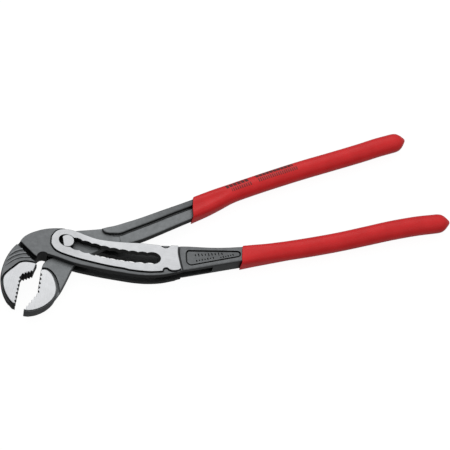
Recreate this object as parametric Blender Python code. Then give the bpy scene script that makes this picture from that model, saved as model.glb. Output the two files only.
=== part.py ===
"""Tongue and groove pliers: a slotted arm with the hook jaw, an inner arm that passes
through it with the lower jaw, a joint bolt that both turn on, and two dipped grips.

The tool lies flat. X runs along the slotted arm's grip, Y across it, Z is the thickness.
The origin is on the joint bolt's axis, in the plane that the ground back faces lie in.
Lengths in this file are in millimetres, and MM turns them into Blender's metres.
"""

from math import atan2, cos, pi, radians, sin

import bpy
from mathutils import Vector

MM = 0.001

# Thickness, in layers about the middle plane
THICK = 15.2
MIDDLE = THICK / 2
GROUND_PROUD = 0.9
PAD_PROUD = 0.9
JAW_THICK = 9.7
NECK_THICK = 11.4
POCKET = 6.2
WEB_THICK = 5.6
RIB_THICK = 9.6
TANG_THICK = 8.2
CHAMFER = 0.5
FINE_CHAMFER = 0.3

# The adjusting slot: ten seats along an arc
SLOT_RADIUS = 150.0
SLOT_START_ANGLE = -35.2
SEATS = 10
SEAT_PITCH = 6.25
SEAT_HALF = 4.35
TOOTH_HALF = 3.6
SLOT_END = 5.8

BOLT_RADIUS = 3.6
BOLT_HOLE_RADIUS = 3.9
BOLT_CHAMFER = 0.15
HUB_RADIUS = 10.0
HUB_GAP = 0.4
RELIEF = (-18.0, -8.2)
RELIEF_RADIUS = 4.1
TOOTH_DEPTH = 0.9

PANEL_DEPTH = 0.5

# The dipped grips, and the steel cores (tangs) inside them
GRIP_WIDTH = 13.0
GRIP_THICK = 12.8
GRIP_GAP = 0.35
GRIP_NOSE = 11.5
MOUTH_ROUND = 0.5
CORE_LEAD = 3.0
LOWER_CORE_END = 240.0
UPPER_CORE_END = 228.0
LOWER_CORE_WIDTH = 8.6
UPPER_CORE_WIDTH = 9.4

PAINTED = (0.075, 0.08, 0.082, 1.0)
GROUND = (0.70, 0.71, 0.72, 1.0)
GRIP_RED = (0.55, 0.012, 0.018, 1.0)


def clear_scene():
    for old in list(bpy.data.objects):
        bpy.data.objects.remove(old, do_unlink=True)


def material(name, colour, roughness, metallic):
    made = bpy.data.materials.new(name)
    made.use_nodes = True
    shader = made.node_tree.nodes["Principled BSDF"]
    shader.inputs["Base Color"].default_value = colour
    shader.inputs["Roughness"].default_value = roughness
    shader.inputs["Metallic"].default_value = metallic
    return made


def smooth(points, steps=3):
    """A Catmull-Rom curve through the points, with this many steps to each stretch."""
    ends = [points[0]] + list(points) + [points[-1]]
    found = []
    for a, b, c, d in zip(ends, ends[1:], ends[2:], ends[3:]):
        for k in range(steps):
            t = k / steps
            found.append(
                tuple(
                    0.5 * (2 * q + (r - p) * t + (2 * p - 5 * q + 4 * r - s) * t * t)
                    + 0.5 * (3 * q - p - 3 * r + s) * t ** 3
                    for p, q, r, s in zip(a, b, c, d)
                )
            )
    return found + [tuple(points[-1])]


def arc(centre, radius, start, end, steps):
    """Points on a circle from one angle to another, in degrees."""
    angles = [radians(start + (end - start) * k / steps) for k in range(steps + 1)]
    return [(centre[0] + radius * cos(a), centre[1] + radius * sin(a)) for a in angles]


def serrated(start, end, teeth, depth):
    """A toothed edge whose tips lie on the line and whose roots lie to its left."""
    along = Vector(end) - Vector(start)
    inward = Vector((-along.y, along.x)).normalized() * depth
    found = []
    for k in range(teeth):
        tip = Vector(start) + along * (k / teeth)
        root = Vector(start) + along * ((k + 0.62) / teeth) + inward
        found += [tuple(tip), tuple(root)]
    return found + [tuple(end)]


def grown(outline, distance):
    """The outline moved outwards by a distance, for an outline that runs anticlockwise."""
    found = []
    for k, point in enumerate(outline):
        before = (Vector(point) - Vector(outline[k - 1])).normalized()
        after = (Vector(outline[(k + 1) % len(outline)]) - Vector(point)).normalized()
        normal = Vector((before.y + after.y, -before.x - after.x)).normalized()
        stretch = max(0.5, normal.dot(Vector((after.y, -after.x))))
        found.append(tuple(Vector(point) + normal * (distance / stretch)))
    return found


def solid(name, loops, faces, look):
    """An object from rings of points in millimetres and a list of faces."""
    mesh = bpy.data.meshes.new(name)
    points = [(x * MM, y * MM, z * MM) for loop in loops for x, y, z in loop]
    mesh.from_pydata(points, [], faces)
    mesh.update()
    made = bpy.data.objects.new(name, mesh)
    bpy.context.collection.objects.link(made)
    if look:
        mesh.materials.append(look)
    return made


def lofted(name, loops, look=None):
    """A closed solid through rings of equal length, capped at both ends."""
    count = len(loops[0])
    faces = [tuple(reversed(range(count)))]
    for ring in range(len(loops) - 1):
        low, high = ring * count, (ring + 1) * count
        for k in range(count):
            after = (k + 1) % count
            faces.append((low + k, low + after, high + after, high + k))
    last = (len(loops) - 1) * count
    faces.append(tuple(range(last, last + count)))
    return solid(name, loops, faces, look)


def slab(name, outline, thickness, look=None, chamfer=0.0, middle=MIDDLE):
    """A flat piece of this thickness about the middle plane, with chamfered rims."""
    low, high = middle - thickness / 2, middle + thickness / 2
    if chamfer:
        inner = grown(outline, -chamfer)
        rings = [(inner, low), (outline, low + chamfer), (outline, high - chamfer), (inner, high)]
    else:
        rings = [(outline, low), (outline, high)]
    return lofted(name, [[(x, y, z) for x, y in ring] for ring, z in rings], look)


def combine(target, other, operation):
    """Unites other with the target, or cuts it out of it, and hides other."""
    modifier = target.modifiers.new(other.name, "BOOLEAN")
    modifier.operation = operation
    modifier.solver = "EXACT"
    modifier.object = other
    other.hide_render = True
    other.display_type = "WIRE"
    other.parent = target


def slot_centre():
    """The centre of the arc that the slot's middle line follows."""
    angle = radians(SLOT_START_ANGLE + 90)
    return Vector((cos(angle), sin(angle))) * SLOT_RADIUS


def on_slot(along, across):
    """The point this far along the slot's arc from the first seat, and across it."""
    angle = radians(SLOT_START_ANGLE - 90) + along / SLOT_RADIUS
    return slot_centre() + Vector((cos(angle), sin(angle))) * (SLOT_RADIUS + across)


def slot_outline():
    """Scalloped sides between two round ends."""
    steps = 6
    last = (SEATS - 1) * SEAT_PITCH
    found = []
    for side in (1, -1):
        seats = range(SEATS) if side > 0 else reversed(range(SEATS))
        for seat in seats:
            for k in range(steps):
                t = (k / steps - 0.5) * side
                beyond = (seat == 0 and t < 0) or (seat == SEATS - 1 and t > 0)
                if beyond:
                    continue
                width = TOOTH_HALF + (SEAT_HALF - TOOTH_HALF) * (1 - (2 * t) ** 2)
                found.append(tuple(on_slot((seat + t) * SEAT_PITCH, side * width)))
        end = last if side > 0 else 0.0
        for k in range(0 if side > 0 else 1, 9):
            turn = pi * k / 9
            reach = SLOT_END * sin(turn) * side
            if k:
                found.append(tuple(on_slot(end + reach, side * SEAT_HALF * cos(turn))))
    return found


def head_outline():
    """The painted outline of the two cheeks, anticlockwise."""
    lower = [(-14.2, -6.5), (-7.4, -10.8), (-1.9, -14.5), (3.9, -17.8), (15.9, -23.4)]
    lower += [(27.7, -28.3), (37.2, -32.0), (46.3, -34.7), (56.4, -36.3), (67.0, -36.6)]
    right = [(69.0, -36.4), (68.6, -29.5), (69.3, -22.0), (71.0, -17.5)]
    upper = [(71.0, -17.5), (65.0, -16.0), (57.0, -14.1), (46.0, -10.7), (36.0, -8.1)]
    upper += [(27.0, -5.3), (19.5, -2.3), (13.5, 1.6), (8.5, 5.5), (3.0, 8.7), (-4.0, 10.9)]
    upper += [(-12.0, 11.9), (-20.0, 11.2), (-26.0, 9.3), (-29.9, 6.3)]
    step = [(-25.2, -1.8), (-22.6, -6.0)]
    return smooth(lower) + smooth(right)[:-1] + smooth(upper) + step


def ground_outline():
    """The outline of the ground face on each cheek, anticlockwise."""
    lower = [(-10.6, 0.4), (-9.4, -3.6), (-6.5, -6.9), (-0.8, -10.7), (5.0, -14.1)]
    lower += [(16.8, -20.1), (24.0, -23.4), (31.2, -26.3)]
    after = [(34.2, -27.9), (41.0, -30.3), (47.2, -32.1), (54.2, -33.3)]
    bump = arc((57.8, -33.7), 2.3, 172, 12, 6)
    corner = [(61.7, -34.3), (65.5, -34.7), (67.8, -33.9)]
    right = [(68.0, -29.0), (68.6, -22.6), (70.1, -17.6)]
    upper = [(65.0, -16.3), (57.0, -14.4), (46.0, -11.0), (36.0, -8.4), (27.0, -5.6)]
    upper += [(19.3, -2.6), (13.2, 1.2), (8.1, 4.9), (3.4, 7.5), (-1.6, 8.9), (-5.6, 8.2)]
    upper += [(-9.0, 5.2)]
    found = smooth(lower) + smooth(after) + bump + smooth(corner)
    return found + smooth(right) + smooth(upper)


def hook_outline():
    """The hook jaw, anticlockwise: down its back, up its toothed mouth."""
    back = [(-20.0, 9.0), (-26.5, 8.9), (-31.2, 7.1), (-35.6, 4.2), (-40.2, -0.4), (-43.8, -6.0)]
    back += [(-46.3, -12.0), (-47.8, -18.5), (-47.9, -25.5), (-46.6, -31.6), (-44.4, -35.6)]
    mouth = serrated((-41.9, -36.1), (-34.5, -17.9), 7, TOOTH_DEPTH)
    mouth += serrated((-34.3, -17.3), (-26.4, -16.1), 3, TOOTH_DEPTH)
    neck = [(-22.8, -11.6), (-22.0, -7.4), (-12.0, 0.0)]
    return smooth(back) + mouth + neck


def hook_pad_outline():
    """The ground pad on each side of the hook jaw."""
    outer = [(-23.1, -11.0), (-26.8, -9.3), (-30.4, -8.4), (-33.4, -8.7), (-37.0, -10.7)]
    outer += [(-41.4, -13.1), (-44.6, -15.6), (-46.2, -19.0), (-46.7, -24.0)]
    outer += [(-46.2, -28.5), (-45.0, -32.4), (-43.6, -35.2)]
    mouth = serrated((-41.6, -35.9), (-34.3, -18.0), 7, TOOTH_DEPTH)
    mouth += serrated((-34.1, -17.5), (-26.5, -16.3), 3, TOOTH_DEPTH)
    return smooth(outer) + mouth


def neck_outline():
    """The painted neck of the slotted arm, from the cheeks to the grip."""
    lower = [(60.0, -35.0), (80.0, -35.4), (100.0, -35.7), (113.2, -36.0)]
    upper = [(113.2, -25.8), (104.0, -24.2), (94.0, -22.4), (84.5, -20.1), (76.0, -17.9)]
    upper += [(68.0, -16.5), (60.0, -16.0)]
    return lower + smooth(upper)


def panel_outline():
    """The sunk panel on each side of the neck."""
    left = arc((76.3, -28.9), 3.8, 270, 180, 4) + arc((77.0, -24.4), 3.4, 170, 100, 4)
    right = arc((107.6, -30.3), 2.5, 80, -82, 6)
    return list(reversed(left + right))


LOWER_LINE = [(113.6, -31.2, 12.6), (124.0, -31.3, 12.9), (140.0, -31.8, 12.7), (160.0, -32.3, 12.6)]
LOWER_LINE += [(180.0, -32.3, 12.6), (200.0, -31.6, 12.8), (218.0, -30.9, 13.0)]
LOWER_LINE += [(236.0, -31.0, 13.0), (248.0, -31.8, 12.8)]
UPPER_LINE = [(92.0, 10.9, 14.6), (99.0, 12.6, 14.6), (107.0, 14.8, 13.8), (116.0, 17.1, 12.6)]
UPPER_LINE += [(128.0, 19.4, 12.4), (147.0, 22.5, 12.4), (170.0, 25.9, 12.6), (193.0, 28.7, 12.6)]
UPPER_LINE += [(215.0, 31.5, 12.8), (228.0, 33.6, 12.8), (238.0, 35.0, 12.6)]


def rounded_ring(x, y, heading, width, thick):
    """One rounded-rectangle section of a grip, square to its heading."""
    side = (-sin(heading), cos(heading))
    ring = []
    for k in range(16):
        turn = 2 * pi * (k + 0.5) / 16
        across = abs(cos(turn)) ** 0.72 * (1 if cos(turn) > 0 else -1) * width / 2
        up = abs(sin(turn)) ** 0.72 * (1 if sin(turn) > 0 else -1) * thick / 2
        ring.append((x + side[0] * across, y + side[1] * across, MIDDLE + up))
    return ring


def grip_rings(line):
    """Sections along a grip: a rounded rim, the body, then a nose that closes in."""
    rows = smooth(line)
    rings = []
    for k, (x, y, width) in enumerate(rows):
        before, after = rows[max(k - 1, 0)], rows[min(k + 1, len(rows) - 1)]
        heading = atan2(after[1] - before[1], after[0] - before[0])
        thick = GRIP_THICK * min(1.0, width / GRIP_WIDTH + 0.04)
        if k == 0:
            rings.append(rounded_ring(x, y, heading, width - 2 * MOUTH_ROUND, thick - 2 * MOUTH_ROUND))
            x, y = x + MOUTH_ROUND * cos(heading), y + MOUTH_ROUND * sin(heading)
        rings.append(rounded_ring(x, y, heading, width, thick))
    for part in (0.35, 0.62, 0.82, 0.94, 1.0):
        shrink = max(0.16, (1 - part ** 2.4) ** 0.5)
        reach = GRIP_NOSE * part
        tip = (x + reach * cos(heading), y + reach * sin(heading))
        rings.append(rounded_ring(*tip, heading, width * shrink, thick * shrink))
    return rings


def core_outline(line, stop, width, extra=0.0):
    """The steel core inside a grip: a strip that follows the grip's line as far as an X."""
    rows = [row for row in smooth(line) if row[0] <= stop]
    upper, lower = [], []
    for k, (x, y, _) in enumerate(rows):
        before, after = rows[max(k - 1, 0)], rows[min(k + 1, len(rows) - 1)]
        heading = atan2(after[1] - before[1], after[0] - before[0])
        if k == 0:
            x, y = x - CORE_LEAD * cos(heading), y - CORE_LEAD * sin(heading)
        if k == len(rows) - 1:
            x, y = x + extra * cos(heading), y + extra * sin(heading)
        reach = width / 2 + extra
        upper.append((x - sin(heading) * reach, y + cos(heading) * reach))
        lower.append((x + sin(heading) * reach, y - cos(heading) * reach))
    return lower + list(reversed(upper))


def grip(name, line, stop, core_width, look):
    """A dipped sleeve with a bore for the arm's steel core."""
    made = lofted(name, grip_rings(line), look)
    core = core_outline(line, stop, core_width, GRIP_GAP)
    combine(made, slab(name + "_bore", core, TANG_THICK + 2 * GRIP_GAP), "DIFFERENCE")
    return made


def slotted_arm(look):
    """The outer arm: hook jaw, two cheeks with the slot, neck and steel core."""
    arm = slab("slotted_arm", head_outline(), THICK - 2 * GROUND_PROUD, look, CHAMFER)
    combine(arm, slab("ground_faces", ground_outline(), THICK), "UNION")
    combine(arm, slab("hook_body", hook_outline(), JAW_THICK - 2 * PAD_PROUD, chamfer=FINE_CHAMFER), "UNION")
    combine(arm, slab("hook_pads", hook_pad_outline(), JAW_THICK), "UNION")
    combine(arm, slab("neck", neck_outline(), NECK_THICK, chamfer=CHAMFER), "UNION")
    core = core_outline(LOWER_LINE, LOWER_CORE_END, LOWER_CORE_WIDTH)
    combine(arm, slab("lower_tang", core, TANG_THICK), "UNION")
    panel = panel_outline()
    for side in (1, -1):
        face = MIDDLE + side * NECK_THICK / 2
        cutter = slab("panel_front" if side > 0 else "panel_back", panel, 2 * PANEL_DEPTH, middle=face)
        combine(arm, cutter, "DIFFERENCE")
    combine(arm, slab("pocket", pocket_outline(), POCKET), "DIFFERENCE")
    relief = arc(RELIEF, RELIEF_RADIUS, 0, 345, 23)
    combine(arm, slab("relief", relief, 2 * THICK), "DIFFERENCE")
    combine(arm, slab("slot", slot_outline(), 2 * THICK), "DIFFERENCE")
    return arm


def pocket_outline():
    """The gap between the cheeks that the inner arm passes through."""
    reach = HUB_RADIUS + HUB_GAP
    hub = arc((0.0, 0.0), reach, 125, 200, 11)
    below = [(-15.6, -6.2), (-17.0, -11.0), (-12.0, -16.0), (20.0, -36.0), (45.0, -42.0), (88.0, -42.0)]
    end = arc((88.0, -33.0), 3.0, -90, 0, 3) + [(91.0, -14.0)]
    above = [(60.0, -4.0), (25.0, 10.0), (hub[0][0], 18.0)]
    return hub + below + end + above


def inner_arm_outline():
    """The web, the lower jaw's body and the handle, anticlockwise from the jaw's heel."""
    mouth = serrated((-21.8, -17.4), (-27.2, -31.8), 5, TOOTH_DEPTH)
    lip = serrated((-27.5, -32.1), (-37.9, -40.9), 5, TOOTH_DEPTH)
    belly = [(-37.7, -41.8), (-34.5, -42.7), (-29.6, -42.9), (-23.4, -41.2), (-16.6, -36.9)]
    belly += [(-11.2, -31.6), (-5.8, -24.8), (-0.6, -17.9), (3.4, -13.6), (8.5, -11.3)]
    belly += [(15.0, -10.2), (24.0, -8.9), (35.0, -7.7), (44.0, -6.8), (50.5, -5.6)]
    belly += [(57.0, -4.2), (66.0, -2.0), (76.0, 0.5), (86.0, 2.9), (93.0, 4.6)]
    top = [(90.2, 16.4), (80.5, 14.6), (66.0, 12.0), (51.6, 9.3), (41.0, 7.8)]
    top += [(34.0, 6.9), (27.0, 6.7), (19.0, 7.3), (11.0, 8.2)]
    hub = arc((0.0, 0.0), HUB_RADIUS, 62, 212, 18)
    heel = [(-14.8, -8.6), (-17.6, -10.3), (-19.3, -12.6), (-20.5, -15.0)]
    return mouth + lip + smooth(belly) + smooth(top) + hub + heel


def jaw_pad_outline():
    """The ground pad on each side of the lower jaw."""
    mouth = serrated((-21.6, -17.5), (-27.0, -31.9), 5, TOOTH_DEPTH)
    lip = serrated((-27.3, -32.2), (-37.7, -41.0), 5, TOOTH_DEPTH)
    belly = [(-37.4, -41.6), (-34.4, -42.4), (-29.6, -42.6), (-23.6, -40.9), (-18.4, -37.6)]
    belly += [(-15.4, -33.4), (-14.3, -28.7), (-14.6, -22.8), (-15.9, -18.6)]
    return mouth + lip + smooth(belly) + [(-17.7, -16.2), (-20.3, -15.5)]


def rib_outline():
    """The thick upper half of the inner arm's handle."""
    lower = [(24.6, 6.2), (25.6, 3.4), (28.2, 1.7), (31.5, 0.9), (36.0, 0.2), (43.0, 1.6)]
    lower += [(57.3, 4.5), (72.0, 7.8), (86.6, 10.8), (91.2, 11.8)]
    upper = [(90.0, 16.2), (80.5, 14.4), (66.0, 11.8), (51.6, 9.1), (41.0, 7.6)]
    upper += [(34.0, 6.7), (28.0, 6.5)]
    return smooth(lower) + smooth(upper)


def inner_arm(look):
    """The arm that passes through the cheeks: lower jaw, web, handle and steel core."""
    arm = slab("inner_arm", inner_arm_outline(), WEB_THICK, look)
    combine(arm, slab("lower_jaw", jaw_pad_outline(), JAW_THICK), "UNION")
    combine(arm, slab("handle_rib", rib_outline(), RIB_THICK, chamfer=FINE_CHAMFER), "UNION")
    core = core_outline(UPPER_LINE, UPPER_CORE_END, UPPER_CORE_WIDTH)
    combine(arm, slab("upper_tang", core, TANG_THICK), "UNION")
    hole = arc((0.0, 0.0), BOLT_HOLE_RADIUS, 0, 345, 23)
    combine(arm, slab("bolt_hole", hole, 2 * THICK), "DIFFERENCE")
    return arm


def joint_bolt(look):
    """The bolt, flush with both ground faces."""
    outline = arc((0.0, 0.0), BOLT_RADIUS, 0, 348.75, 31)
    return slab("joint_bolt", outline, THICK, look, BOLT_CHAMFER)


def main():
    clear_scene()
    painted = material("forged_steel", PAINTED, 0.45, 0.6)
    ground = material("ground_steel", GROUND, 0.3, 1.0)
    red = material("grip_red", GRIP_RED, 0.35, 0.0)
    slotted_arm(painted)
    inner_arm(painted)
    joint_bolt(ground)
    grip("lower_grip", LOWER_LINE, LOWER_CORE_END, LOWER_CORE_WIDTH, red)
    grip("upper_grip", UPPER_LINE, UPPER_CORE_END, UPPER_CORE_WIDTH, red)


main()
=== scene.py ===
"""Looks for the tongue and groove pliers: two painted forgings with ground steel faces, a
D-shaped joint bolt and two dipped grips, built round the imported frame.

Lengths are in millimetres, and MM turns them into metres. X runs along the lower grip, Y across
it and Z is the thickness. The origin is on the joint bolt's axis.
"""

from math import acos, atan2, cos, degrees, exp, pi, radians, sin

import bmesh
import bpy
import numpy as np
from mathutils import Matrix, Vector


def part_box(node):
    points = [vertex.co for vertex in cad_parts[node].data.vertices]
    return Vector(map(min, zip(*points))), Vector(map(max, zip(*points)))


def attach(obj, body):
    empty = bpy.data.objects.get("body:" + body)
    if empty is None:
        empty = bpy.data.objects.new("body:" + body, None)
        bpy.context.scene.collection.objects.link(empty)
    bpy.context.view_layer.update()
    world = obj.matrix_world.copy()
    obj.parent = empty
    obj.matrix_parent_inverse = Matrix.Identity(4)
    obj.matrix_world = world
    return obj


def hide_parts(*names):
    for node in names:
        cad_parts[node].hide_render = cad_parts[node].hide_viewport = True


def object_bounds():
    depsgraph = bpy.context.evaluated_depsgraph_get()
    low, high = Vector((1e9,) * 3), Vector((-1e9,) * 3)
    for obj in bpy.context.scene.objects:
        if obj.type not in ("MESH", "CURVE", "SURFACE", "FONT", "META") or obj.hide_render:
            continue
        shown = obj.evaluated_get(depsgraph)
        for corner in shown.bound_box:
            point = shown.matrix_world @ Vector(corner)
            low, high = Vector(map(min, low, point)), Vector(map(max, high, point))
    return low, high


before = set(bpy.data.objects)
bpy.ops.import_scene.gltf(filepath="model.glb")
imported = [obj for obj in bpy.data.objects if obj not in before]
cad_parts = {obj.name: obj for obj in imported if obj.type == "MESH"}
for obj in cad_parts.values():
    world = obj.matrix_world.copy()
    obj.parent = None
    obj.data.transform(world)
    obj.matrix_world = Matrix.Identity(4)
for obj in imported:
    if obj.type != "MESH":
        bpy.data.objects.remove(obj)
cad_low, cad_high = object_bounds()

MM = 0.001
FACES = (("front", 1), ("back", -1))

# Thickness, in layers about the middle plane
LOW, HIGH = (corner.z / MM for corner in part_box("joint_bolt"))
THICK = HIGH - LOW
MIDDLE = (LOW + HIGH) / 2
JAW_THICK = 9.7
NECK_THICK = 11.4
POCKET = 6.2
WEB_THICK = 5.6
RIB_THICK = 9.6

# How far the ground faces stand above the painted ones, and the ledge beside the teeth
GROUND_STEP = 0.9
JAW_STEP = 0.9
JAW_LEDGE = 0.5

# The groove round each ground face: (width, depth)
CHEEK_GROOVE = (0.95, 0.8)
HOOK_GROOVE = (1.6, 1.3)
JAW_GROOVE = (2.6, 1.5)
NECK_GROOVE = (1.7, 0.9)

# The thin skins that carry the ground steel
PLATE = 0.25
PLATE_INSET = 0.12
PLATE_PROUD = 0.03

# The sunk panel on the neck, its border groove and its strokes
PANEL_DEPTH = 0.32
PANEL_BORDER = 1.15
PANEL_BORDER_DEPTH = 1.3
STROKE_HALF = 0.38
STROKE_DEPTH = 0.65

# The adjusting slot: ten seats along an arc
SLOT_RADIUS = 150.0
SLOT_START_ANGLE = -35.2
SEATS = 10
SEAT_PITCH = 6.25
SEAT_HALF = 4.35
TOOTH_HALF = 3.6
SLOT_END = 5.8

BOLT_RADIUS = 4.28
BOLT_FLAT = 2.72
BOLT_FLAT_ANGLE = 174.0
HUB_RADIUS = 10.0
RELIEF = (-18.0, -8.2)
RELIEF_RADIUS = 4.1
TOOTH_DEPTH = 0.9
DEEP_TOOTH = 1.25

# The dipped grips: (x, y, width) rows along the middle, and how far each mouth slants
GRIP_WIDTH = 13.0
GRIP_THICK = 12.8
GRIP_POINTS = 56
LOWER_SLANT = 0.31
UPPER_SLANT = 0.57
LOWER_LINE = [(112.8, -30.9, 13.8), (120.0, -31.1, 13.3), (129.0, -31.5, 12.7), (140.0, -31.8, 12.6)]
LOWER_LINE += [(160.0, -32.3, 12.6), (180.0, -32.3, 12.6), (200.0, -31.6, 12.8), (218.0, -30.9, 13.0)]
LOWER_LINE += [(236.0, -31.0, 13.0), (248.0, -31.8, 12.8)]
UPPER_LINE = [(91.8, 10.8, 14.6), (99.0, 12.6, 14.6), (107.0, 14.8, 13.8), (116.0, 17.1, 12.6)]
UPPER_LINE += [(128.0, 19.4, 12.4), (147.0, 22.5, 12.4), (170.0, 25.9, 12.6), (193.0, 28.7, 12.6)]
UPPER_LINE += [(215.0, 31.5, 12.8), (228.0, 33.5, 12.9), (238.0, 34.6, 12.8)]

# The rolled mouth, from inside to outside: (distance along, share of the width)
GRIP_MOUTH = [(1.2, 0.70), (0.5, 0.78), (0.12, 0.84), (0.0, 0.90), (0.12, 0.955), (0.45, 0.99)]

# The nose: its length, and (share of the length, share of the width) down to the drip
GRIP_NOSE = 12.2
NOSE_PROFILE = [(0.14, 1.0), (0.30, 0.995), (0.44, 0.96), (0.55, 0.895), (0.65, 0.79), (0.74, 0.66)]
NOSE_PROFILE += [(0.82, 0.52), (0.89, 0.38), (0.94, 0.28), (0.97, 0.21), (0.99, 0.16), (1.0, 0.07)]

# The groove down the upper grip, and how far from its mouth these fade out
VALLEY_DEPTH = 0.21
VALLEY_HALF = 1.7
VALLEY_ACROSS = -0.4
VALLEY_RUN = 27.0
SLANT_RUN = 13.0
WAVE_RUN = 3.0
SQUARE_RUN = 30.0

# Rows of print: (period, share inked, across from, across to, along from, along to, strength)
PRINT_ROWS = [(2.9, 0.80, 1.7, 4.6, 23.5, 40.0, 1.0), (1.6, 0.6, -1.7, 0.8, 26.0, 41.5, 0.8)]
PRINT_ROWS += [(2.7, 0.84, 2.3, 5.0, 46.0, 74.0, 1.0), (1.5, 0.6, -1.4, 1.4, 46.0, 76.5, 0.8)]

# Paint: painted shade on the walls, which changes along x (from x, to x, tone before, tone after), and other
# zones
SLOTTED_WALL_SHADE = (66.0, 78.0, 0.2, 0.62)
INNER_WALL_SHADE = (15.0, 32.0, 0.6, 0.2)
RAISED_LEVEL = (4.05, 4.35)
HOOK_NECK_END = -24.0
RIB_START = 20.0
RIB_FADE = (25.0, 90.0, 1.06, 0.57)
NECK_START = 72.0
# A painted highlight: the tops of the ridges on the hook's neck are lighter
RIDGE_HIGHLIGHT = 1.7
PANEL_TONE = 1.4
# Painted shade on the faces inside the pocket
POCKET_SHADE = 0.35

# The light
SKY_TONES = (0.22, 0.75)
SKY_TOP = 0.85
BOX_SIZE = (1.1, 0.8)
BOX_DISTANCE = 1.1
BOX_ENERGY = 3.0
BOX_TOWARD = (0.0, 0.65, 0.76)

# The camera, seen from the middle of the object, and its aim from that middle
CAMERA_AZIMUTH = -31.0
CAMERA_ELEVATION = 60.0
CAMERA_ROLL = 17.5
CAMERA_DISTANCE = 1125.6
CAMERA_LENS = 135.0
AIM_SHIFT = (1.3, -4.15)


# ---------------------------------------------------------------- outlines

def smooth(points, steps=6):
    """A Catmull-Rom curve through the points, with this many steps to each stretch."""
    ends = [points[0]] + list(points) + [points[-1]]
    found = []
    for a, b, c, d in zip(ends, ends[1:], ends[2:], ends[3:]):
        for k in range(steps):
            t = k / steps
            found.append(
                tuple(
                    0.5 * (2 * q + (r - p) * t + (2 * p - 5 * q + 4 * r - s) * t * t)
                    + 0.5 * (3 * q - p - 3 * r + s) * t ** 3
                    for p, q, r, s in zip(a, b, c, d)
                )
            )
    return found + [tuple(points[-1])]


def arc(centre, radius, start, end, steps):
    """Points on a circle from one angle to another, in degrees."""
    angles = [radians(start + (end - start) * k / steps) for k in range(steps + 1)]
    return [(centre[0] + radius * cos(a), centre[1] + radius * sin(a)) for a in angles]


def serrated(start, end, teeth, depth):
    """A toothed edge whose blunt tips lie on the line and whose roots lie to its left."""
    along = Vector(end) - Vector(start)
    inward = Vector((-along.y, along.x)).normalized() * depth
    found = []
    for k in range(teeth):
        for share, deep in ((0.0, 0.0), (0.14, 0.0), (0.56, 0.92), (0.66, 1.0), (0.76, 0.92)):
            found.append(tuple(Vector(start) + along * ((k + share) / teeth) + inward * deep))
    return found + [tuple(end)]


def grown(outline, distance):
    """The outline moved outwards by a distance, for an outline that runs anticlockwise."""
    found = []
    for k, point in enumerate(outline):
        before = (Vector(point) - Vector(outline[k - 1])).normalized()
        after = (Vector(outline[(k + 1) % len(outline)]) - Vector(point)).normalized()
        normal = Vector((before.y + after.y, -before.x - after.x)).normalized()
        stretch = max(0.5, normal.dot(Vector((after.y, -after.x))))
        found.append(tuple(Vector(point) + normal * (distance / stretch)))
    return found


def inset(outline, distance):
    """The outline moved inwards. Points that would cross are drawn together."""
    if not distance:
        return outline
    moved, start = np.array(grown(outline, -distance)), np.array(outline)
    along = np.roll(start, -1, axis=0) - start
    reach = moved[:, None] - start[None]
    share = np.clip((reach * along).sum(axis=2) / (along ** 2).sum(axis=1), 0, 1)
    away = np.linalg.norm(reach - share[..., None] * along, axis=2).min(axis=1)
    kept = np.flatnonzero(away > 0.97 * distance)
    gap = np.abs(np.arange(len(moved))[:, None] - kept)
    nearest = kept[np.minimum(gap, len(moved) - gap).argmin(axis=1)]
    return [tuple(point) for point in moved[nearest]]


def slot_centre():
    """The centre of the arc that the slot's middle line follows."""
    angle = radians(SLOT_START_ANGLE + 90)
    return Vector((cos(angle), sin(angle))) * SLOT_RADIUS


def on_slot(along, across):
    """The point this far along the slot's arc from the first seat, and across it."""
    angle = radians(SLOT_START_ANGLE - 90) + along / SLOT_RADIUS
    return slot_centre() + Vector((cos(angle), sin(angle))) * (SLOT_RADIUS + across)


def slot_outline():
    """Scalloped sides between two round ends."""
    steps = 10
    last = (SEATS - 1) * SEAT_PITCH
    found = []
    for side in (1, -1):
        seats = range(SEATS) if side > 0 else reversed(range(SEATS))
        for seat in seats:
            for k in range(steps):
                t = (k / steps - 0.5) * side
                if (seat == 0 and t < 0) or (seat == SEATS - 1 and t > 0):
                    continue
                width = TOOTH_HALF + (SEAT_HALF - TOOTH_HALF) * (1 - (2 * t) ** 2)
                found.append(tuple(on_slot((seat + t) * SEAT_PITCH, side * width)))
        end = last if side > 0 else 0.0
        for k in range(1, 16):
            turn = pi * k / 16
            reach = SLOT_END * sin(turn) * side
            found.append(tuple(on_slot(end + reach, side * SEAT_HALF * cos(turn))))
    return found


def head_outline():
    """The painted outline of the two cheeks, anticlockwise."""
    lower = [(-14.2, -6.5), (-7.4, -10.8), (-1.9, -14.5), (3.9, -17.8), (15.9, -23.4)]
    lower += [(27.7, -28.3), (37.2, -32.0), (46.3, -34.6), (55.5, -35.9), (65.0, -35.8)]
    right = [(68.8, -35.2), (68.3, -29.5), (69.0, -22.0), (70.8, -17.4)]
    upper = [(70.8, -17.4), (65.0, -16.0), (57.0, -14.1), (46.0, -10.7), (36.0, -8.1)]
    upper += [(27.0, -5.3), (19.5, -2.3), (13.5, 1.6), (8.5, 5.5), (3.0, 8.7), (-4.0, 10.9)]
    upper += [(-12.0, 11.9), (-20.0, 11.2), (-26.0, 9.3), (-29.6, 6.6)]
    step = smooth([(-29.7, 5.9), (-25.2, -1.8), (-22.6, -6.0), (-19.0, -8.6)], 4)
    return smooth(lower) + smooth(right)[:-1] + smooth(upper) + step


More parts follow.
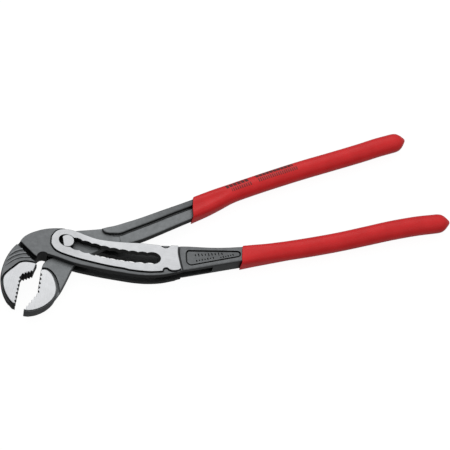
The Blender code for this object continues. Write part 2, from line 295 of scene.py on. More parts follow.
def ground_outline():
    """The outline of the ground face on each cheek, anticlockwise."""
    lower = [(-10.6, 0.4), (-9.4, -3.6), (-6.5, -6.9), (-0.8, -10.7), (5.0, -14.1)]
    lower += [(16.8, -20.1), (24.0, -23.4), (31.2, -26.3)]
    after = [(34.2, -27.9), (41.0, -30.3), (47.2, -32.1), (54.2, -33.3)]
    bump = arc((57.8, -33.7), 2.3, 172, 12, 10)
    corner = [(61.7, -34.3), (65.5, -34.7), (67.8, -33.9)]
    right = [(68.0, -29.0), (68.6, -22.6), (70.1, -17.6)]
    upper = [(65.6, -16.5), (63.8, -17.6), (61.4, -17.8), (59.3, -16.2), (57.4, -14.7)]
    upper += [(46.0, -11.0), (36.0, -8.4), (27.0, -5.6), (19.3, -2.6), (13.2, 1.2), (8.1, 4.9)]
    upper += [(3.4, 7.5), (-1.6, 8.9), (-5.6, 8.2), (-9.0, 5.2)]
    found = smooth(lower) + smooth(after) + bump + smooth(corner)
    return found + smooth(right) + smooth(upper)


HOOK_BACK = [(-20.0, 9.0), (-26.5, 8.7), (-31.0, 6.8), (-35.3, 3.8), (-39.8, -0.7), (-43.5, -6.1)]
HOOK_BACK += [(-46.3, -12.0), (-47.8, -18.5), (-47.9, -25.5), (-46.6, -31.6), (-44.4, -35.6)]
HOOK_TIP = (-42.2, -36.1)
HOOK_CORNER = [(-34.5, -17.9), (-34.3, -17.3)]
HOOK_ROOT = (-26.4, -16.1)


def hook_mouth():
    """The two toothed edges of the hook jaw, from its tip to the root of its mouth."""
    low = serrated(HOOK_TIP, HOOK_CORNER[0], 7, TOOTH_DEPTH)
    return low + serrated(HOOK_CORNER[1], HOOK_ROOT, 4, TOOTH_DEPTH)


def hook_outline():
    """The hook jaw's lower layer, whose rim is rounded: it ends short of the teeth."""
    mouth = [(-44.0, -34.6), (-36.9, -18.0), (-35.7, -15.6), (-28.0, -14.2)]
    neck = [(-23.6, -11.0), (-22.0, -7.4), (-12.0, 0.0)]
    return smooth(HOOK_BACK)[:-4] + mouth + neck


def hook_tooth_outline(extra):
    """The hook jaw's toothed layer. Its back lies this far outside the ground pad's."""
    outer = [(-23.1, -11.0), (-26.8, -9.3), (-30.4, -8.4), (-33.4, -8.7), (-37.0, -10.7)]
    outer += [(-41.4, -13.1), (-44.6, -15.6), (-46.2, -19.0), (-46.7, -24.0)]
    outer += [(-46.2, -28.5), (-45.0, -32.4), (-43.6, -35.4)]
    back = smooth(outer)
    return grown(back + hook_mouth(), extra)[: len(back) - 1] + hook_mouth()


def neck_outline():
    """The painted neck of the slotted arm, from the cheeks to the grip."""
    lower = [(60.0, -35.0), (80.0, -35.4), (100.0, -35.7), (115.5, -36.0)]
    upper = [(115.5, -25.6), (104.0, -24.1), (94.0, -22.3), (84.5, -20.0), (76.0, -17.8)]
    upper += [(68.0, -16.4), (60.0, -16.0)]
    return smooth(lower) + smooth(upper)


def panel_outline():
    """The sunk panel on each side of the neck."""
    left = arc((76.3, -28.9), 3.8, 270, 180, 8) + arc((77.0, -24.4), 3.4, 170, 100, 8)
    right = arc((107.6, -30.3), 2.5, 80, -82, 10)
    return list(reversed(left + right))


def pocket_outline():
    """The gap between the cheeks that the inner arm passes through."""
    hub = arc((0.0, 0.0), HUB_RADIUS + 0.4, 125, 200, 20)
    below = [(-15.6, -6.2), (-17.0, -11.0), (-12.0, -16.0), (20.0, -36.0), (45.0, -42.0)]
    end = [(88.0, -42.0)] + arc((88.0, -33.0), 3.0, -90, 0, 6) + [(91.0, -14.0)]
    return hub + below + end + [(60.0, -4.0), (25.0, 10.0), (hub[0][0], 18.0)]


def web_outline():
    """The web, the lower jaw's body and the handle, ending short of the teeth."""
    mouth = [(-21.2, -18.0), (-25.6, -31.0), (-26.9, -32.7), (-36.2, -41.1)]
    belly = [(-36.9, -42.1), (-34.2, -42.7), (-29.6, -42.9), (-23.4, -41.2), (-16.6, -36.9)]
    belly += [(-11.2, -31.6), (-5.8, -24.8), (-0.6, -17.9), (3.4, -13.9), (8.5, -11.8)]
    belly += [(13.6, -10.4), (18.0, -8.9), (22.0, -7.9), (28.0, -7.5), (36.0, -7.5), (44.0, -6.8)]
    belly += [(50.5, -5.8), (57.0, -4.3), (66.0, -2.1), (76.0, 0.4), (86.0, 2.8), (95.0, 5.0)]
    top = [(93.0, 17.0), (80.5, 14.6), (66.0, 12.0), (51.6, 9.3), (41.0, 7.8)]
    top += [(34.0, 6.9), (27.0, 6.7), (19.0, 7.3), (11.0, 8.2)]
    hub = arc((0.0, 0.0), HUB_RADIUS, 62, 212, 36)
    heel = smooth([(-11.6, -7.6), (-14.8, -8.6), (-17.6, -10.3), (-19.3, -12.6), (-20.5, -15.0)], 4)
    return mouth + smooth(belly) + smooth(top) + hub + heel


def jaw_tooth_outline(extra):
    """The lower jaw's toothed layer. Its belly lies this far outside the ground pad's."""
    mouth = serrated((-21.6, -17.5), (-27.0, -31.9), 5, DEEP_TOOTH)
    mouth += serrated((-27.3, -32.2), (-37.7, -41.0), 5, TOOTH_DEPTH)
    belly = [(-37.6, -41.6), (-34.6, -42.5), (-29.6, -42.5), (-23.6, -40.8), (-18.4, -37.5)]
    belly += [(-15.4, -33.4), (-14.3, -28.7), (-14.6, -22.8), (-15.9, -18.9), (-17.9, -16.6), (-20.6, -16.1)]
    back = smooth(belly)
    return mouth + grown(mouth + back, extra)[len(mouth) :]


def rib_outline():
    """The thick upper half of the inner arm's handle."""
    lower = [(24.6, 6.2), (25.6, 3.4), (28.2, 1.7), (31.5, 0.9), (36.0, 0.2), (43.0, 1.6)]
    lower += [(57.3, 4.5), (72.0, 7.8), (86.6, 10.8), (94.4, 12.5)]
    upper = [(93.0, 16.8), (80.5, 14.4), (66.0, 11.8), (51.6, 9.1), (41.0, 7.6)]
    upper += [(34.0, 6.7), (28.0, 6.5)]
    return smooth(lower) + smooth(upper)


# ---------------------------------------------------------------- mesh work

def solid(name, loops, faces):
    """An object from rings of points in millimetres and a list of faces."""
    mesh = bpy.data.meshes.new(name)
    mesh.from_pydata([(x * MM, y * MM, z * MM) for loop in loops for x, y, z in loop], [], faces)
    shape = bmesh.new()
    shape.from_mesh(mesh)
    bmesh.ops.remove_doubles(shape, verts=shape.verts, dist=0.002 * MM)
    bmesh.ops.recalc_face_normals(shape, faces=shape.faces)
    shape.to_mesh(mesh)
    shape.free()
    made = bpy.data.objects.new(name, mesh)
    bpy.context.scene.collection.objects.link(made)
    return made


def lofted(name, loops):
    """A closed solid through rings of equal length, capped at both ends."""
    count = len(loops[0])
    faces = [tuple(reversed(range(count)))]
    for ring in range(len(loops) - 1):
        low, high = ring * count, (ring + 1) * count
        for k in range(count):
            after = (k + 1) % count
            faces.append((low + k, low + after, high + after, high + k))
    last = (len(loops) - 1) * count
    faces.append(tuple(range(last, last + count)))
    return solid(name, loops, faces)


def slab(name, outline, thickness, fillet=0.0, draft=0.0, middle=MIDDLE, steps=4):
    """A flat piece about a middle plane, with rounded rims and walls that lean in from the middle."""
    turns = [radians(90 * k / steps) for k in range(steps + 1)] if fillet else [pi / 2]
    rim = [(draft + fillet * (1 - sin(t)), fillet * (1 - cos(t)) - thickness / 2) for t in turns]
    waist = [(0.0, 0.0)] if draft else []
    rings = rim + waist + [(pull, -height) for pull, height in reversed(rim)]
    return lofted(
        name, [[(x, y, middle + height) for x, y in inset(outline, pull)] for pull, height in rings]
    )


def bar(name, line, half_width, half_height, level, taper=0.3):
    """A long half-sunk ridge along a line, which runs out at its first end."""
    rows = smooth(line, 6)
    rings = []
    for k, (x, y) in enumerate(rows):
        before, after = rows[max(k - 1, 0)], rows[min(k + 1, len(rows) - 1)]
        heading = atan2(after[1] - before[1], after[0] - before[0])
        swell = min(1.0, 0.12 + k / (len(rows) * taper))
        ring = []
        for step in range(14):
            turn = 2 * pi * step / 14
            across = half_width * swell * cos(turn)
            up = half_height * swell * sin(turn)
            ring.append((x - sin(heading) * across, y + cos(heading) * across, level + up))
        rings.append(ring)
    return lofted(name, rings)


def strokes(name, marks, level):
    """Short blocks across a face, each (x, y, half length), as one cutter."""
    loops, faces = [], []
    for x, y, half in marks:
        base = 4 * len(loops)
        left, right = x - STROKE_HALF, x + STROKE_HALF
        ring = [(left, y - half), (right, y - half), (right, y + half), (left, y + half)]
        for height in (-STROKE_DEPTH, STROKE_DEPTH):
            loops.append([(*point, level + height) for point in ring])
        faces += [(base + 3, base + 2, base + 1, base), (base + 4, base + 5, base + 6, base + 7)]
        for k in range(4):
            after = (k + 1) % 4
            faces.append((base + k, base + after, base + 4 + after, base + 4 + k))
    return solid(name, loops, faces)


def shaped(target, steps):
    """Applies Boolean steps, each (operation, other object), and removes the others."""
    for operation, other in steps:
        modifier = target.modifiers.new(other.name, "BOOLEAN")
        modifier.operation = operation
        modifier.solver = "EXACT"
        modifier.object = other
    bpy.context.view_layer.update()
    mesh = bpy.data.meshes.new_from_object(target.evaluated_get(bpy.context.evaluated_depsgraph_get()))
    target.modifiers.clear()
    target.data = mesh
    for _, other in steps:
        bpy.data.objects.remove(other, do_unlink=True)
    return target


def finished(made, look, body, sharp=38.0):
    """Cleans the mesh, shades it smooth up to an angle, and hangs it on its body."""
    shape = bmesh.new()
    shape.from_mesh(made.data)
    bmesh.ops.remove_doubles(shape, verts=shape.verts, dist=0.004 * MM)
    bmesh.ops.dissolve_degenerate(shape, edges=shape.edges, dist=0.002 * MM)
    bmesh.ops.triangulate(shape, faces=[face for face in shape.faces if len(face.verts) > 4])
    shape.to_mesh(made.data)
    shape.free()
    made.data.materials.clear()
    made.data.materials.append(look)
    made.data.shade_smooth()
    made.data.set_sharp_from_angle(angle=radians(sharp))
    weighted = made.modifiers.new("weighted_normals", "WEIGHTED_NORMAL")
    weighted.keep_sharp = True
    weighted.weight = 100
    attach(made, body)


# ---------------------------------------------------------------- materials

class Look:
    """A node material round a Principled shader, whose plain values are set by keyword."""

    def __init__(self, name, **shader_values):
        self.material = bpy.data.materials.new(name)
        self.material.use_nodes = True
        self.tree = self.material.node_tree
        self.shader = self.tree.nodes["Principled BSDF"]
        for socket, value in shader_values.items():
            self.shader.inputs[socket.replace("_", " ")].default_value = value

    def add(self, kind, inputs=(), **fields):
        """A node of this kind. An input that is a socket is linked, any other is set."""
        made = self.tree.nodes.new("ShaderNode" + kind)
        for field, value in fields.items():
            setattr(made, field, value)
        for socket, value in dict(inputs).items():
            if isinstance(value, bpy.types.NodeSocket):
                self.tree.links.new(value, made.inputs[socket])
            else:
                made.inputs[socket].default_value = value
        return made

    def link(self, value, socket):
        """Drives one of the shader's inputs."""
        self.tree.links.new(value, self.shader.inputs[socket])

    def place(self, turn=0.0, scale=(1.0, 1.0, 1.0)):
        """Object coordinates in millimetres, turned about Z and scaled."""
        coordinates = self.add("TexCoord").outputs["Object"]
        per_mm = tuple(s / MM for s in scale)
        turned = self.add("VectorRotate", {"Vector": coordinates, "Angle": turn}, rotation_type="Z_AXIS")
        scaled = self.add("VectorMath", {0: turned.outputs[0], 1: per_mm}, operation="MULTIPLY")
        return scaled.outputs[0]

    def noise(self, vector, scale, detail=3.0, rough=0.5):
        """Noise from 0 to 1, with this many features to a millimetre."""
        inputs = {"Vector": vector, "Scale": scale, "Detail": detail, "Roughness": rough}
        return self.add("TexNoise", inputs).outputs["Fac"]

    def fit(self, value, low, high, to_low, to_high):
        """The value mapped from one range to another, and clamped."""
        inputs = {"Value": value, "From Min": low, "From Max": high, "To Min": to_low, "To Max": to_high}
        return self.add("MapRange", inputs).outputs["Result"]

    def maths(self, operation, a, b=0.0):
        """One step of arithmetic on values or sockets."""
        return self.add("Math", {0: a, 1: b}, operation=operation).outputs[0]

    def mix(self, share, a, b, blend="MIX"):
        """Two colours mixed, by a share of the second."""
        made = self.add("Mix", data_type="RGBA", blend_type=blend)
        for index, value in ((0, share), (6, a), (7, b)):
            if isinstance(value, bpy.types.NodeSocket):
                self.tree.links.new(value, made.inputs[index])
            else:
                made.inputs[index].default_value = value
        return made.outputs[2]

    def grey(self, value):
        """A value as a colour."""
        return self.add("CombineColor", {0: value, 1: value, 2: value}).outputs[0]

    def bumps(self, height, strength, distance_mm, under=None):
        """A normal bumped by a height, on top of another normal where one is given."""
        inputs = {"Height": height, "Strength": strength, "Distance": distance_mm * MM}
        if under is not None:
            inputs["Normal"] = under
        return self.add("Bump", inputs).outputs["Normal"]

    def edges(self, radius_mm):
        """Near 1 on sharp or rounded edges, 0 on open faces."""
        rounded = self.add("Bevel", {"Radius": radius_mm * MM}, samples=6).outputs["Normal"]
        true = self.add("NewGeometry").outputs["True Normal"]
        alike = self.add("VectorMath", {0: rounded, 1: true}, operation="DOT_PRODUCT").outputs["Value"]
        return self.fit(alike, 0.99, 0.80, 0.0, 1.0)

    def hollows(self, reach_mm):
        """0 in a deep crease, 1 on an open face."""
        node = self.add("AmbientOcclusion", {"Distance": reach_mm * MM}, samples=8)
        return node.outputs["AO"]


def zones(look, place, facing, inside):
    """Parts of a forging whose tone is changed, as (mask, tone), told apart by their level.

    They are the ridges on the hook's neck, with a painted highlight on their tops, the rib, darker towards
    the grip, the sunk panel, lighter, and the pocket's faces, with painted shade.
    """
    level = look.maths("ABSOLUTE", look.maths("SUBTRACT", place.outputs["Z"], MIDDLE))
    low = look.maths("LESS_THAN", level, NECK_THICK / 2 - 0.2)
    raised = look.maths("MULTIPLY", look.fit(level, *RAISED_LEVEL, 0.0, 1.0), low)
    # Painted highlight on the tops of the hook's ridges
    crest_highlight = look.maths("MULTIPLY", raised, look.maths("LESS_THAN", place.outputs["X"], HOOK_NECK_END))
    rib = look.maths("MULTIPLY", raised, look.maths("GREATER_THAN", place.outputs["X"], RIB_START))
    fading = look.fit(place.outputs["X"], *RIB_FADE)
    panel = look.maths("MULTIPLY", look.maths("GREATER_THAN", place.outputs["X"], NECK_START), low)
    panel = look.maths("MULTIPLY", panel, look.maths("GREATER_THAN", level, RIB_THICK / 2 + 0.2))
    # Painted shade on the pocket's faces that look up or down
    pocket = look.maths("LESS_THAN", level, POCKET / 2 + 0.05)
    pocket = look.maths("MULTIPLY", pocket, look.maths("GREATER_THAN", facing, 0.5))
    return (crest_highlight, RIDGE_HIGHLIGHT), (rib, fading), (panel, PANEL_TONE), (pocket, inside)


def painted_look(name, base, walls, inside=1.0):
    """Dark grey painted forging: fine cast grain, painted shade in creases, in the slot and pocket and on
    the walls, and worn edges.

    The pocket's faces get painted shade: their tone is multiplied by the last argument.
    """
    look = Look(name, Metallic=0.72, Specular_IOR_Level=0.45)
    spots = look.noise(look.place(), 0.35, 4.0, 0.6)
    grain = look.noise(look.place(), 3.2, 2.0)
    tone = look.fit(spots, 0.3, 0.7, 0.86, 1.12)
    tone = look.maths("MULTIPLY", tone, look.fit(grain, 0.3, 0.7, 0.92, 1.07))
    # Painted shade: darker in creases and grooves, and with the longer reach deep in the slot and the pocket
    tone = look.maths("MULTIPLY", tone, look.fit(look.hollows(2.2), 0.32, 0.72, 0.02, 1.0))
    tone = look.maths("MULTIPLY", tone, look.fit(look.hollows(9.0), 0.25, 0.65, 0.12, 1.0))
    facing = look.add("SeparateXYZ", {0: look.add("NewGeometry").outputs["Normal"]}).outputs["Z"]
    facing = look.maths("ABSOLUTE", facing)
    place = look.add("SeparateXYZ", {0: look.place()})
    shade = look.fit(place.outputs["X"], *walls)
    # Painted shade: faces that turn sideways are darker, by a share that changes along x
    tone = look.maths("MULTIPLY", tone, look.fit(facing, 0.15, 0.55, shade, 1.0))
    for mask, factor in zones(look, place, facing, inside):
        tone = look.maths("MULTIPLY", tone, look.fit(mask, 0.0, 1.0, 1.0, factor))
    base = look.mix(1.0, (*base, 1.0), look.grey(tone), "MULTIPLY")
    worn = look.maths("MULTIPLY", look.edges(0.35), look.fit(spots, 0.35, 0.65, 0.1, 0.5))
    worn = look.maths("MULTIPLY", worn, look.fit(facing, 0.2, 0.6, 0.2, 1.0))
    look.link(look.mix(worn, base, (0.36, 0.37, 0.38, 1.0)), "Base Color")
    look.link(look.fit(grain, 0.25, 0.75, 0.40, 0.52), "Roughness")
    coarse = look.bumps(spots, 0.35, 0.12)
    look.link(look.bumps(grain, 0.30, 0.035, coarse), "Normal")
    return look.material


def ground_look(name, turn, bright, rings=False):
    """Bright ground steel: long fine scratches, with rings about the joint where asked."""
    look = Look(name, Metallic=1.0)
    streaks = look.noise(look.place(turn, (0.035, 2.6, 1.0)), 1.0, 4.0, 0.65)
    fine = look.noise(look.place(turn, (0.3, 9.0, 1.0)), 1.0, 2.0, 0.6)
    if rings:
        across = look.add("VectorMath", {0: look.place(0.0, (1.0, 1.0, 0.0))}, operation="LENGTH")
        radius = look.add("CombineXYZ", {0: across.outputs["Value"]}).outputs[0]
        turned = look.noise(radius, 1.5, 4.0, 0.7)
        near = look.fit(across.outputs["Value"], 7.0, 16.0, 1.0, 0.0)
        streaks = look.maths("ADD", look.maths("MULTIPLY", turned, near),
                             look.maths("MULTIPLY", streaks, look.maths("SUBTRACT", 1.0, near)))
    patches = look.noise(look.place(), 0.22, 3.0)
    tone = look.fit(streaks, 0.3, 0.7, 0.86, 1.07)
    tone = look.maths("MULTIPLY", tone, look.fit(patches, 0.3, 0.7, 0.94, 1.03))
    if rings:
        tone = look.maths("MULTIPLY", tone, look.fit(near, 0.0, 1.0, 1.0, 0.86))
    base = (bright, bright * 1.015, bright * 1.04, 1.0)
    look.link(look.mix(1.0, base, look.grey(tone), "MULTIPLY"), "Base Color")
    look.link(look.fit(streaks, 0.25, 0.75, 0.30, 0.44), "Roughness")
    scratched = look.bumps(fine, 0.22, 0.010)
    look.link(look.bumps(streaks, 0.30, 0.018, scratched), "Normal")
    return look.material


def ticks(look, along, across, period, share, low, high, start, end):
    """A row of printed bars: 1 on a bar, 0 between."""
    phase = look.maths("FRACT", look.maths("DIVIDE", along, period))
    on = look.maths("LESS_THAN", phase, share)
    for value, test, limit in ((across, "GREATER_THAN", low), (across, "LESS_THAN", high),
                               (along, "GREATER_THAN", start), (along, "LESS_THAN", end)):
        on = look.maths("MULTIPLY", on, look.maths(test, value, limit))
    return on


def grip_look(name, printed):
    """Red dipped plastic: satin, slightly cloudy, with a faint orange-peel surface."""
    look = Look(name, Coat_Weight=0.05, Coat_Roughness=0.3, Specular_IOR_Level=0.28,
                Sheen_Weight=0.12, Sheen_Roughness=0.5)
    clouds = look.noise(look.place(), 0.10, 3.0)
    peel = look.noise(look.place(), 1.1, 2.0)
    speck = look.noise(look.place(), 4.5, 2.0)
    cloudy = look.fit(clouds, 0.3, 0.7, 0.0, 1.0)
    red = look.mix(cloudy, (0.68, 0.010, 0.012, 1.0), (0.78, 0.016, 0.019, 1.0))
    base = look.mix(look.fit(speck, 0.35, 0.75, 0.0, 0.25), red, (0.56, 0.007, 0.010, 1.0))
    if printed:
        along = look.add("Attribute", attribute_name="along").outputs["Fac"]
        across = look.add("Attribute", attribute_name="across").outputs["Fac"]
        height = look.add("SeparateXYZ", {0: look.place()}).outputs["Z"]
        front = look.maths("GREATER_THAN", height, MIDDLE)
        marks = 0.0
        for *row, strength in PRINT_ROWS:
            inked = look.maths("MULTIPLY", ticks(look, along, across, *row), strength)
            marks = look.maths("MAXIMUM", inked, marks)
        marks = look.maths("MULTIPLY", marks, front)
        ink = look.maths("MULTIPLY", marks, look.fit(speck, 0.3, 0.6, 0.7, 0.97))
        base = look.mix(ink, base, (0.035, 0.012, 0.012, 1.0))
    look.link(base, "Base Color")
    look.link(look.fit(peel, 0.3, 0.7, 0.34, 0.46), "Roughness")
    look.link(look.bumps(speck, 0.12, 0.02, look.bumps(peel, 0.22, 0.05)), "Normal")
    return look.material


# ---------------------------------------------------------------- pieces

def both_faces(name, outline, thickness, height):
    """A shallow cutter on the front face and one on the back face."""
    return [
        slab(f"{name}_{label}", outline, 2 * height, middle=MIDDLE + side * thickness / 2)
        for label, side in FACES
    ]


def hook_details():
    """The forged ridges on the hook's neck and the cove beside the cheek, on both sides."""
    ridges = [
        ([(-38.6, -1.6), (-36.9, -0.3), (-33.8, 1.0), (-30.2, 1.4), (-27.0, 1.0)], 0.8, 0.95),
        ([(-41.2, -5.4), (-39.3, -3.6), (-35.3, -2.0), (-30.4, -1.4), (-25.6, -2.2)], 0.75, 0.9),
        ([(-42.4, -8.2), (-40.0, -6.4), (-35.9, -4.7), (-31.1, -4.1), (-25.0, -5.3)], 0.65, 0.8),
    ]
    cove = [(-31.4, 8.0), (-29.7, 4.9), (-27.2, 0.4), (-25.6, -3.0), (-23.2, -6.8), (-21.0, -8.6)]
    level = JAW_THICK / 2 - JAW_STEP
    steps = []
    for side in (1, -1):
        for number, (line, half_width, half_height) in enumerate(ridges):
            name = f"ridge_{number}_{side}"
            steps.append(("UNION", bar(name, line, half_width, half_height, MIDDLE + side * level)))
        cut = bar(f"cove_{side}", cove, 1.5, 2.7, MIDDLE + side * level, 0.01)
        steps.append(("DIFFERENCE", cut))
    return steps


def grooves(name, outline, thickness, depth):
    """Boolean steps that lower both faces inside an outline, to leave a groove round what comes next."""
    return [("DIFFERENCE", cutter) for cutter in both_faces(name, outline, thickness, depth)]


def panel_details():
    """The sunk panels on the neck, their border grooves and rows of plain strokes."""
    panel = panel_outline()
    steps = []
    for cutter in both_faces("panel", panel, NECK_THICK, PANEL_DEPTH):
        steps.append(("DIFFERENCE", cutter))
    for side in (1, -1):
        face = MIDDLE + side * NECK_THICK / 2
        border = slab(f"border_{side}", panel, 2 * PANEL_BORDER_DEPTH, middle=face)
        island = slab(f"island_{side}", inset(panel, PANEL_BORDER), 3.0, middle=face)
        steps.append(("DIFFERENCE", shaped(border, [("DIFFERENCE", island)])))
        marks = [(80.0 + 2.2 * n, -25.6 - 0.31 * n, (0.8, 1.15, 0.95)[n % 3]) for n in range(9)]
        marks += [(79.8 + 1.9 * n, -29.8, (0.75, 0.5)[n % 2]) for n in range(7)]
        marks += [(96.2 + 1.7 * n, -30.5 + 0.07 * n, (0.5, 0.7)[n % 2]) for n in range(6)]
        steps.append(("DIFFERENCE", strokes(f"marks_{side}", marks, face - side * PANEL_DEPTH)))
    return steps


def slotted_arm(look):
    """The outer arm: hook jaw, two cheeks with the slot, and the neck."""
    head_thick = THICK - 2 * GROUND_STEP
    hook_thick = JAW_THICK - 2 * JAW_STEP
    arm = slab("slotted_arm_forging", head_outline(), head_thick, 0.5, 0.15)
    steps = [("UNION", slab("hook_body", hook_outline(), hook_thick, 0.9, 0.25))]
    steps += hook_details()
    steps.append(("UNION", slab("hook_teeth_low", hook_tooth_outline(JAW_LEDGE), hook_thick)))
    width, depth = HOOK_GROOVE
    steps += grooves("hook_groove", hook_tooth_outline(width), hook_thick, depth)
    width, depth = CHEEK_GROOVE
    steps += grooves("cheek_groove", grown(ground_outline(), width), head_thick, depth)
    width, depth = NECK_GROOVE
    neck = slab("neck", neck_outline(), NECK_THICK, 0.9, 0.25)
    shaped(neck, grooves("neck_groove", grown(ground_outline(), width), NECK_THICK, depth))
    steps += [
        ("UNION", slab("hook_teeth", hook_tooth_outline(0.0), JAW_THICK - 2 * PLATE_PROUD)),
        ("UNION", slab("ground_body", ground_outline(), THICK - 2 * PLATE_PROUD)),
        ("UNION", neck),
    ]
    steps += panel_details()
    steps += [
        ("DIFFERENCE", slab("pocket", pocket_outline(), POCKET)),
        ("DIFFERENCE", slab("relief", arc(RELIEF, RELIEF_RADIUS, 0, 352.5, 47), 2 * THICK)),
        ("DIFFERENCE", slab("slot", slot_outline(), 2 * THICK)),
    ]
    shaped(arm, steps)
    finished(arm, look, "slotted_arm_body")
    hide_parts("slotted_arm")


def ground_plate(name, outline, thickness, side, look, body, hole=None):
    """The ground skin on one face of a forging."""
    middle = MIDDLE + side * (thickness - PLATE) / 2
    plate = slab(name, inset(outline, PLATE_INSET), PLATE, 0.1, middle=middle, steps=2)
    if hole:
        shaped(plate, [("DIFFERENCE", slab(name + "_hole", grown(hole, PLATE_INSET), 2 * THICK))])
    finished(plate, look, body, 25.0)


def inner_arm(look):
    """The arm that passes through the cheeks: lower jaw, web and handle."""
    arm = slab("inner_arm_forging", web_outline(), WEB_THICK, 0.75)
    width, depth = JAW_GROOVE
    steps = grooves("jaw_groove", jaw_tooth_outline(width), WEB_THICK, depth)
    steps += [
        ("UNION", slab("jaw_low", jaw_tooth_outline(JAW_LEDGE), JAW_THICK - 2 * JAW_STEP)),
        ("UNION", slab("jaw_teeth", jaw_tooth_outline(0.0), JAW_THICK - 2 * PLATE_PROUD)),
        ("UNION", slab("handle_rib", rib_outline(), RIB_THICK, 0.8, 0.2)),
    ]
    facet = [(19.0, -13.0), (34.6, -13.0), (35.3, 1.2), (29.5, 2.4), (26.0, 5.0), (24.0, 10.0), (18.0, 10.0)]
    for cutter in both_faces("facet", facet, WEB_THICK, 0.4):
        steps.append(("DIFFERENCE", cutter))
    foot = [(30.6, 0.7), (36.0, -0.3), (43.0, 1.1), (57.3, 4.0), (72.0, 7.3), (86.6, 10.3), (94.4, 12.0)]
    for side in (1, -1):
        level = MIDDLE + side * WEB_THICK / 2
        steps.append(("DIFFERENCE", bar(f"foot_{side}", foot, 0.75, 0.9, level, 0.01)))
    shaped(arm, steps)
    finished(arm, look, "inner_arm_body")
    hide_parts("inner_arm")


def joint_bolt(look, face_look):
    """The bolt that joins the arms, with a flat along one side and ground ends."""
    half = degrees(acos(BOLT_FLAT / BOLT_RADIUS))
    outline = arc((0.0, 0.0), BOLT_RADIUS, BOLT_FLAT_ANGLE + half, BOLT_FLAT_ANGLE + 360 - half, 48)
    bolt = slab("d_shaped_bolt", outline, THICK - 2 * PLATE_PROUD, 0.12, steps=2)
    finished(bolt, look, "inner_arm_body", 30.0)
    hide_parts("joint_bolt")
    for label, side in FACES:
        ground_plate(f"bolt_end_{label}", outline, THICK, side, face_look, "inner_arm_body")


def grip_sections(line):
    """Stations along a grip: (x, y, heading, width, thickness, distance ahead, run so far)."""
    rows = smooth(line, 8)
    length, sections = 0.0, []
    for k, (x, y, width) in enumerate(rows):
        before, after = rows[max(k - 1, 0)], rows[min(k + 1, len(rows) - 1)]
        heading = atan2(after[1] - before[1], after[0] - before[0])
        if k:
            length += (Vector((x, y)) - Vector(rows[k - 1][:2])).length
        thick = GRIP_THICK * min(1.0, width / GRIP_WIDTH + 0.04)
        if k == 0:
            for ahead, shrink in GRIP_MOUTH:
                sections.append((x, y, heading, width * shrink, thick * shrink, ahead, length))
        else:
            sections.append((x, y, heading, width, thick, 0.0, length))
    for part, shrink in NOSE_PROFILE:
        ahead = GRIP_NOSE * part
        sections.append((x, y, heading, width * shrink, thick * shrink, ahead, length + ahead))
    return sections


def grip_ring(section, slant, groove):
    """One ring of a grip's skin, squarer near the mouth, and each point's distance across the grip."""
    x, y, heading, width, thick, ahead, run = section
    square = 0.50 + 0.42 * min(1.0, run / SQUARE_RUN)
    ring, across = [], []
    for k in range(GRIP_POINTS):
        turn = 2 * pi * (k + 0.5) / GRIP_POINTS
        side = abs(cos(turn)) ** square * (1 if cos(turn) > 0 else -1) * width / 2
        up = abs(sin(turn)) ** square * (1 if sin(turn) > 0 else -1) * thick / 2
        if groove:
            fade = max(0.0, 1 - run / VALLEY_RUN) ** 0.8
            up *= 1 - VALLEY_DEPTH * fade * exp(-((side - VALLEY_ACROSS) / VALLEY_HALF) ** 2)
        wave = 0.28 * sin(3 * turn + 0.6) * max(0.0, 1 - run / WAVE_RUN)
        reach = ahead + wave + slant * (side - width / 2) * max(0.0, 1 - run / SLANT_RUN)
        ring.append((x + reach * cos(heading) - sin(heading) * side,
                     y + reach * sin(heading) + cos(heading) * side, MIDDLE + up))
        across.append(side)
    return ring, across


def grip(name, line, look, body, slant, groove):
    """A dipped grip: a rolled, slightly wavy mouth, the body, and a nose that ends in a drip.

    Each point also keeps how far it is along the grip and across it, for the print.
    """
    rings, along, across = [], [], []
    for section in grip_sections(line):
        ring, offsets = grip_ring(section, slant, groove)
        rings.append(ring)
        along += [section[-1]] * len(ring)
        across += offsets
    made = lofted(name, rings)
    finished(made, look, body, 50.0)
    for label, values in (("along", along), ("across", across)):
        attribute = made.data.attributes.new(label, "FLOAT", "POINT")
        attribute.data.foreach_set("value", np.array(values, np.float32)[: len(made.data.vertices)])
    return made


def pieces():
    """Every visible piece, each with its look and its body."""
    painted = painted_look("painted_slotted_arm", (0.158, 0.165, 0.170), SLOTTED_WALL_SHADE, POCKET_SHADE)
    slotted_arm(painted)
    inner_arm(painted_look("painted_inner_arm", (0.195, 0.205, 0.211), INNER_WALL_SHADE))
    joint_bolt(painted, ground_look("bolt_steel", radians(40), 0.48))
    cheek = ground_look("cheek_steel", radians(22), 0.535, rings=True)
    hook = ground_look("hook_steel", radians(-62), 0.535)
    jaw = ground_look("jaw_steel", radians(-70), 0.58)
    outer, inner = "slotted_arm_body", "inner_arm_body"
    for label, side in FACES:
        ground_plate(f"cheek_ground_{label}", ground_outline(), THICK, side, cheek, outer, slot_outline())
        ground_plate(f"hook_ground_{label}", hook_tooth_outline(0.0), JAW_THICK, side, hook, outer)
        ground_plate(f"jaw_ground_{label}", jaw_tooth_outline(0.0), JAW_THICK, side, jaw, inner)
    plain, printed = grip_look("grip_plain", False), grip_look("grip_printed", True)
    lower = grip("lower_dipped_grip", LOWER_LINE, plain, outer, LOWER_SLANT, False)
    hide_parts("lower_grip")
    upper = grip("upper_dipped_grip", UPPER_LINE, printed, inner, UPPER_SLANT, True)
    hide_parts("upper_grip")


# ---------------------------------------------------------------- stage, light and camera

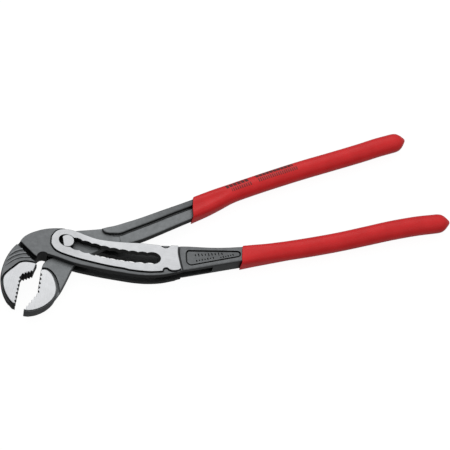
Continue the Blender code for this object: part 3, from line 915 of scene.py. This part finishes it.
def floor():
    """A white floor just under the object, which shines so that it shows almost no shadow."""
    under = (0.1, 0.0, LOW * MM - 0.0002)
    bpy.ops.mesh.primitive_grid_add(x_subdivisions=8, y_subdivisions=8, size=8.0, location=under)
    made = bpy.context.object
    made.name = "floor"
    look = Look("floor_paper", Roughness=0.9, Specular_IOR_Level=0.0,
                Emission_Color=(1.0, 1.0, 1.0, 1.0), Emission_Strength=0.94)
    grain = look.fit(look.noise(look.place(), 0.8, 2.0), 0.3, 0.7, 0.0, 1.0)
    look.link(look.mix(grain, (0.11, 0.11, 0.11, 1.0), (0.13, 0.13, 0.13, 1.0)), "Base Color")
    made.data.materials.append(look.material)
    made.visible_glossy = False
    made.visible_diffuse = False


def light():
    """A soft dome, brighter overhead than near the horizon, and a large soft box behind the object."""
    world = bpy.data.worlds.new("studio")
    bpy.context.scene.world = world
    world.use_nodes = True
    nodes, links = world.node_tree.nodes, world.node_tree.links
    direction = nodes.new("ShaderNodeTexCoord").outputs["Generated"]
    split = nodes.new("ShaderNodeSeparateXYZ")
    links.new(direction, split.inputs[0])
    ramp = nodes.new("ShaderNodeMapRange")
    ramp.interpolation_type = "SMOOTHSTEP"
    links.new(split.outputs["Z"], ramp.inputs["Value"])
    low_tone, high_tone = SKY_TONES
    limits = {"From Min": 0.0, "From Max": SKY_TOP, "To Min": low_tone, "To Max": high_tone}
    for socket, value in limits.items():
        ramp.inputs[socket].default_value = value
    links.new(ramp.outputs["Result"], nodes["Background"].inputs["Strength"])
    nodes["Background"].inputs["Color"].default_value = (1.0, 1.0, 1.0, 1.0)
    box = bpy.data.lights.new("soft_box", "AREA")
    box.shape = "RECTANGLE"
    box.size, box.size_y = BOX_SIZE
    box.energy = BOX_ENERGY
    holder = bpy.data.objects.new("soft_box", box)
    bpy.context.scene.collection.objects.link(holder)
    centre = (cad_low + cad_high) / 2
    toward = Vector(BOX_TOWARD).normalized()
    holder.location = centre + toward * BOX_DISTANCE
    holder.rotation_euler = toward.to_track_quat("Z", "Y").to_euler()


def camera():
    """A long lens above the left end, rolled so that upright things lean a little clockwise."""
    azimuth, elevation, roll = (radians(a) for a in (CAMERA_AZIMUTH, CAMERA_ELEVATION, CAMERA_ROLL))
    level = Vector((cos(azimuth), sin(azimuth), 0.0))
    back = Vector((sin(azimuth) * cos(elevation), -cos(azimuth) * cos(elevation), sin(elevation)))
    upright = back.cross(level)
    right = cos(roll) * level + sin(roll) * upright
    up = cos(roll) * upright - sin(roll) * level
    middle = (cad_low + cad_high) / 2
    aim = Vector((middle.x + AIM_SHIFT[0] * MM, middle.y + AIM_SHIFT[1] * MM, MIDDLE * MM))
    place = aim + back * CAMERA_DISTANCE * MM
    data = bpy.data.cameras.new("camera")
    data.lens = CAMERA_LENS
    data.sensor_width = 36.0
    data.clip_start, data.clip_end = 0.05, 20.0
    made = bpy.data.objects.new("camera", data)
    bpy.context.scene.collection.objects.link(made)
    turn = Matrix((right, up, back)).transposed().to_4x4()
    made.matrix_world = Matrix.Translation(place) @ turn
    bpy.context.scene.camera = made


camera()
light()
floor()
pieces()
bpy.context.scene.view_settings.view_transform = "Standard"
